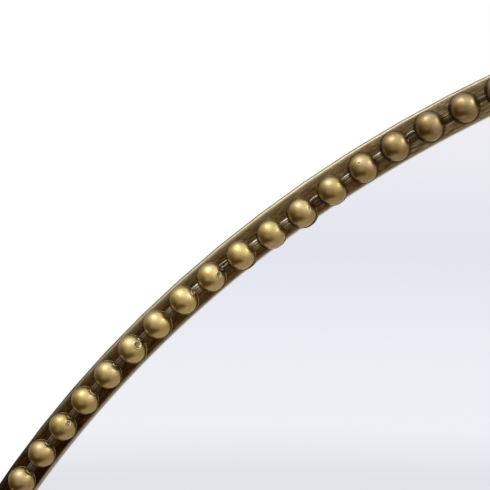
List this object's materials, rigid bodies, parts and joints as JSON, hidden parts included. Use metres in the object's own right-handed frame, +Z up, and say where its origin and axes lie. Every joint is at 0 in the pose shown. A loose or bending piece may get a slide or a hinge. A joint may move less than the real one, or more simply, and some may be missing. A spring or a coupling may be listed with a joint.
{
  "type": "arched wall mirror",
  "caption": "Arched wall mirror with a flat bottom, in a slim steel angle frame trimmed with a strip of small domes, hung on hinged rings.",
  "frame": {"origin": "middle of the bottom edge, on the wall plane", "axes": "+Z up, the mirror faces -Y, +Y goes into the wall, +X to the right as seen from the front"},
  "size_m": [0.914, 0.0304, 1.2189],
  "materials": {
    "frame_steel": "dark antique bronze patina, rubbed through to gold along the edges",
    "trim_brass": "satin antique gold",
    "mirror_glass": "silvered float glass",
    "foam_tape": "soft white foam",
    "backing_board": "bare medium density fibreboard",
    "rubber": "matte black",
    "zinc_steel": "zinc plated"
  },
  "bodies": {
    "mirror": {"frame_arch": "frame_steel", "frame_left_stile": "frame_steel", "frame_right_stile": "frame_steel", "frame_bottom_rail": "frame_steel", "left_splice_plate": "frame_steel", "right_splice_plate": "frame_steel", "left_corner_angle": "frame_steel", "right_corner_angle": "frame_steel", "arch_trim_strip": "trim_brass", "left_trim_strip": "trim_brass", "right_trim_strip": "trim_brass", "bottom_trim_strip": "trim_brass", "mirror_glass": "mirror_glass", "foam_tape": "foam_tape", "backing_board": "backing_board", "setting_blocks": "rubber", "edge_spacers": "rubber", "board_clips": "zinc_steel", "clip_screws": "zinc_steel", "left_hanger_strap": "zinc_steel", "right_hanger_strap": "zinc_steel", "hanger_screws": "zinc_steel", "wall_bumpers": "rubber", "bumper_screws": "zinc_steel"},
    "left_ring": {"left_d_ring": "zinc_steel"},
    "right_ring": {"right_d_ring": "zinc_steel"}
  },
  "joints": [
    {"name": "left_ring_hinge", "type": "hinge", "parent": "mirror", "child": "left_ring", "pos_m": [-0.327, -0.0064, 0.889], "axis": [-1, 0, 0], "range_deg": [-4, 178]},
    {"name": "right_ring_hinge", "type": "hinge", "parent": "mirror", "child": "right_ring", "pos_m": [0.327, -0.0064, 0.889], "axis": [-1, 0, 0], "range_deg": [-4, 178]}
  ]
}
